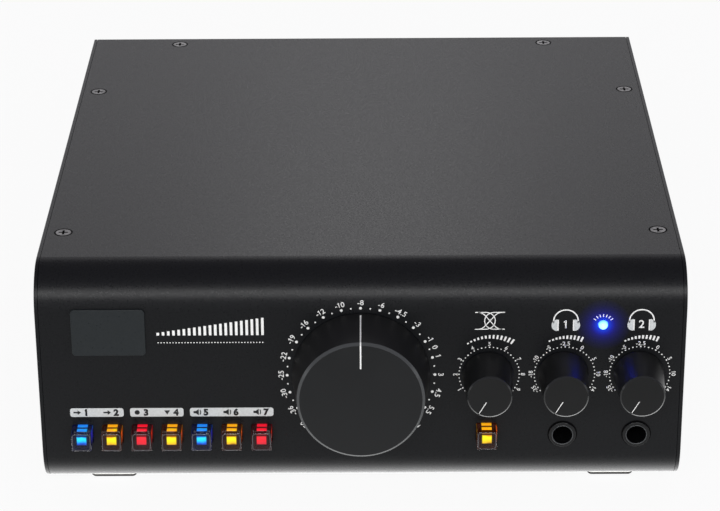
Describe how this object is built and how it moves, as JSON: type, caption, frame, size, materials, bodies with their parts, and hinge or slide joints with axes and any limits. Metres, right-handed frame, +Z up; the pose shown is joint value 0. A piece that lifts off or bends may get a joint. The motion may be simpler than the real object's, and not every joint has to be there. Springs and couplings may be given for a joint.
{
  "type": "studio monitor controller",
  "caption": "Desktop monitor controller: folded steel box with a large volume knob, small knobs, lit push buttons and headphone jacks in front, line sockets behind.",
  "frame": {"origin": "on the surface the feet stand on, under the middle of the outline", "axes": "+X to the right seen from the front, +Y from the front panel to the rear panel, +Z up"},
  "size_m": [0.21, 0.2414, 0.0837],
  "materials": {
    "housing_paint": "fine textured powder coat",
    "rear_paint": "fine textured powder coat",
    "screw_steel": "zinc-plated steel",
    "foot_rubber": "matt",
    "badge_enamel": "smooth satin",
    "circuit_board": "solder resist",
    "nickel_brass": "nickel plated",
    "transformer_wrap": "wound tape",
    "knob_plastic": "satin",
    "pointer_white": "printed line",
    "shaft_brass": "turned",
    "pot_steel": "plated",
    "switch_plastic": "moulded",
    "lamp_blue": "clear lamp",
    "socket_nickel": "satin nickel",
    "insert_plastic": "moulded",
    "inlet_plastic": "moulded",
    "rocker_plastic": "moulded",
    "jack_plastic": "moulded",
    "cap_clear": "clear polycarbonate",
    "core_blue": "lit, clear blue",
    "core_amber": "lit, clear amber",
    "core_red": "lit, clear red",
    "latch_steel": "polished"
  },
  "bodies": {
    "chassis": {"wrap_shell": "housing_paint", "side_wall_left": "housing_paint", "side_wall_right": "housing_paint", "rear_panel": "rear_paint", "top_screws": "screw_steel", "underside_screws": "screw_steel", "rubber_feet": "foot_rubber", "foot_screws": "screw_steel", "badge_plate": "badge_enamel", "front_board": "circuit_board", "main_board": "circuit_board", "board_standoffs": "nickel_brass", "board_screws": "screw_steel", "mains_transformer": "transformer_wrap", "main_pot_body": "pot_steel", "small_pot_bodies": "pot_steel", "pot_nuts": "nickel_brass", "button_switches": "switch_plastic", "power_led": "lamp_blue", "input_sockets": "socket_nickel", "input_inserts": "insert_plastic", "output_sockets": "socket_nickel", "output_pins": "nickel_brass", "socket_screws": "screw_steel", "mains_inlet": "inlet_plastic", "inlet_blades": "nickel_brass", "power_rocker_frame": "inlet_plastic", "phones_jack_1": "jack_plastic", "phones_jack_2": "jack_plastic"},
    "main_knob": {"main_knob": "knob_plastic", "main_knob_pointer": "pointer_white", "main_pot_shaft": "shaft_brass"},
    "crossfeed_knob": {"crossfeed_knob": "knob_plastic", "crossfeed_shaft": "shaft_brass"},
    "phones_1_knob": {"phones_1_knob": "knob_plastic", "phones_1_shaft": "shaft_brass"},
    "phones_2_knob": {"phones_2_knob": "knob_plastic", "phones_2_shaft": "shaft_brass"},
    "button_1": {"button_cap_1": "cap_clear", "button_core_1": "core_blue"},
    "button_2": {"button_cap_2": "cap_clear", "button_core_2": "core_amber"},
    "button_3": {"button_cap_3": "cap_clear", "button_core_3": "core_red"},
    "button_4": {"button_cap_4": "cap_clear", "button_core_4": "core_amber"},
    "button_5": {"button_cap_5": "cap_clear", "button_core_5": "core_blue"},
    "button_6": {"button_cap_6": "cap_clear", "button_core_6": "core_amber"},
    "button_7": {"button_cap_7": "cap_clear", "button_core_7": "core_red"},
    "button_8": {"button_cap_8": "cap_clear", "button_core_8": "core_amber"},
    "latch_1": {"input_latch_1": "latch_steel"},
    "latch_2": {"input_latch_2": "latch_steel"},
    "latch_3": {"input_latch_3": "latch_steel"},
    "latch_4": {"input_latch_4": "latch_steel"},
    "fuse_drawer": {"fuse_drawer": "inlet_plastic"},
    "power_rocker": {"power_rocker": "rocker_plastic"}
  },
  "joints": [
    {"name": "main_volume_turn", "type": "hinge", "parent": "chassis", "child": "main_knob", "pos_m": [0, -0.10222, 0.04745], "axis": [0, 1, 0], "range_deg": [-150, 150]},
    {"name": "crossfeed_turn", "type": "hinge", "parent": "chassis", "child": "crossfeed_knob", "pos_m": [0.04115, -0.10222, 0.04745], "axis": [0, 1, 0], "range_deg": [0, 300]},
    {"name": "phones_1_turn", "type": "hinge", "parent": "chassis", "child": "phones_1_knob", "pos_m": [0.0656, -0.10222, 0.04745], "axis": [0, 1, 0], "range_deg": [0, 300]},
    {"name": "phones_2_turn", "type": "hinge", "parent": "chassis", "child": "phones_2_knob", "pos_m": [0.09, -0.10222, 0.04745], "axis": [0, 1, 0], "range_deg": [0, 300]},
    {"name": "button_1_press", "type": "slide", "parent": "chassis", "child": "button_1", "axis": [0, 1, 0], "range_m": [0, 0.0025], "stiffness_N_per_m": 500},
    {"name": "button_2_press", "type": "slide", "parent": "chassis", "child": "button_2", "axis": [0, 1, 0], "range_m": [0, 0.0025], "stiffness_N_per_m": 500},
    {"name": "button_3_press", "type": "slide", "parent": "chassis", "child": "button_3", "axis": [0, 1, 0], "range_m": [0, 0.0025], "stiffness_N_per_m": 500},
    {"name": "button_4_press", "type": "slide", "parent": "chassis", "child": "button_4", "axis": [0, 1, 0], "range_m": [0, 0.0025], "stiffness_N_per_m": 500},
    {"name": "button_5_press", "type": "slide", "parent": "chassis", "child": "button_5", "axis": [0, 1, 0], "range_m": [0, 0.0025], "stiffness_N_per_m": 500},
    {"name": "button_6_press", "type": "slide", "parent": "chassis", "child": "button_6", "axis": [0, 1, 0], "range_m": [0, 0.0025], "stiffness_N_per_m": 500},
    {"name": "button_7_press", "type": "slide", "parent": "chassis", "child": "button_7", "axis": [0, 1, 0], "range_m": [0, 0.0025], "stiffness_N_per_m": 500},
    {"name": "button_8_press", "type": "slide", "parent": "chassis", "child": "button_8", "axis": [0, 1, 0], "range_m": [0, 0.0025], "stiffness_N_per_m": 500},
    {"name": "latch_1_push", "type": "slide", "parent": "chassis", "child": "latch_1", "axis": [0, -1, 0], "range_m": [0, 0.0015], "stiffness_N_per_m": 800},
    {"name": "latch_2_push", "type": "slide", "parent": "chassis", "child": "latch_2", "axis": [0, -1, 0], "range_m": [0, 0.0015], "stiffness_N_per_m": 800},
    {"name": "latch_3_push", "type": "slide", "parent": "chassis", "child": "latch_3", "axis": [0, -1, 0], "range_m": [0, 0.0015], "stiffness_N_per_m": 800},
    {"name": "latch_4_push", "type": "slide", "parent": "chassis", "child": "latch_4", "axis": [0, -1, 0], "range_m": [0, 0.0015], "stiffness_N_per_m": 800},
    {"name": "fuse_drawer_slide", "type": "slide", "parent": "chassis", "child": "fuse_drawer", "axis": [0, 1, 0], "range_m": [0, 0.016]},
    {"name": "power_rocker_tilt", "type": "hinge", "parent": "chassis", "child": "power_rocker", "pos_m": [0.053, 0.11497, 0.0443], "axis": [1, 0, 0], "range_deg": [-18, 0]}
  ]
}
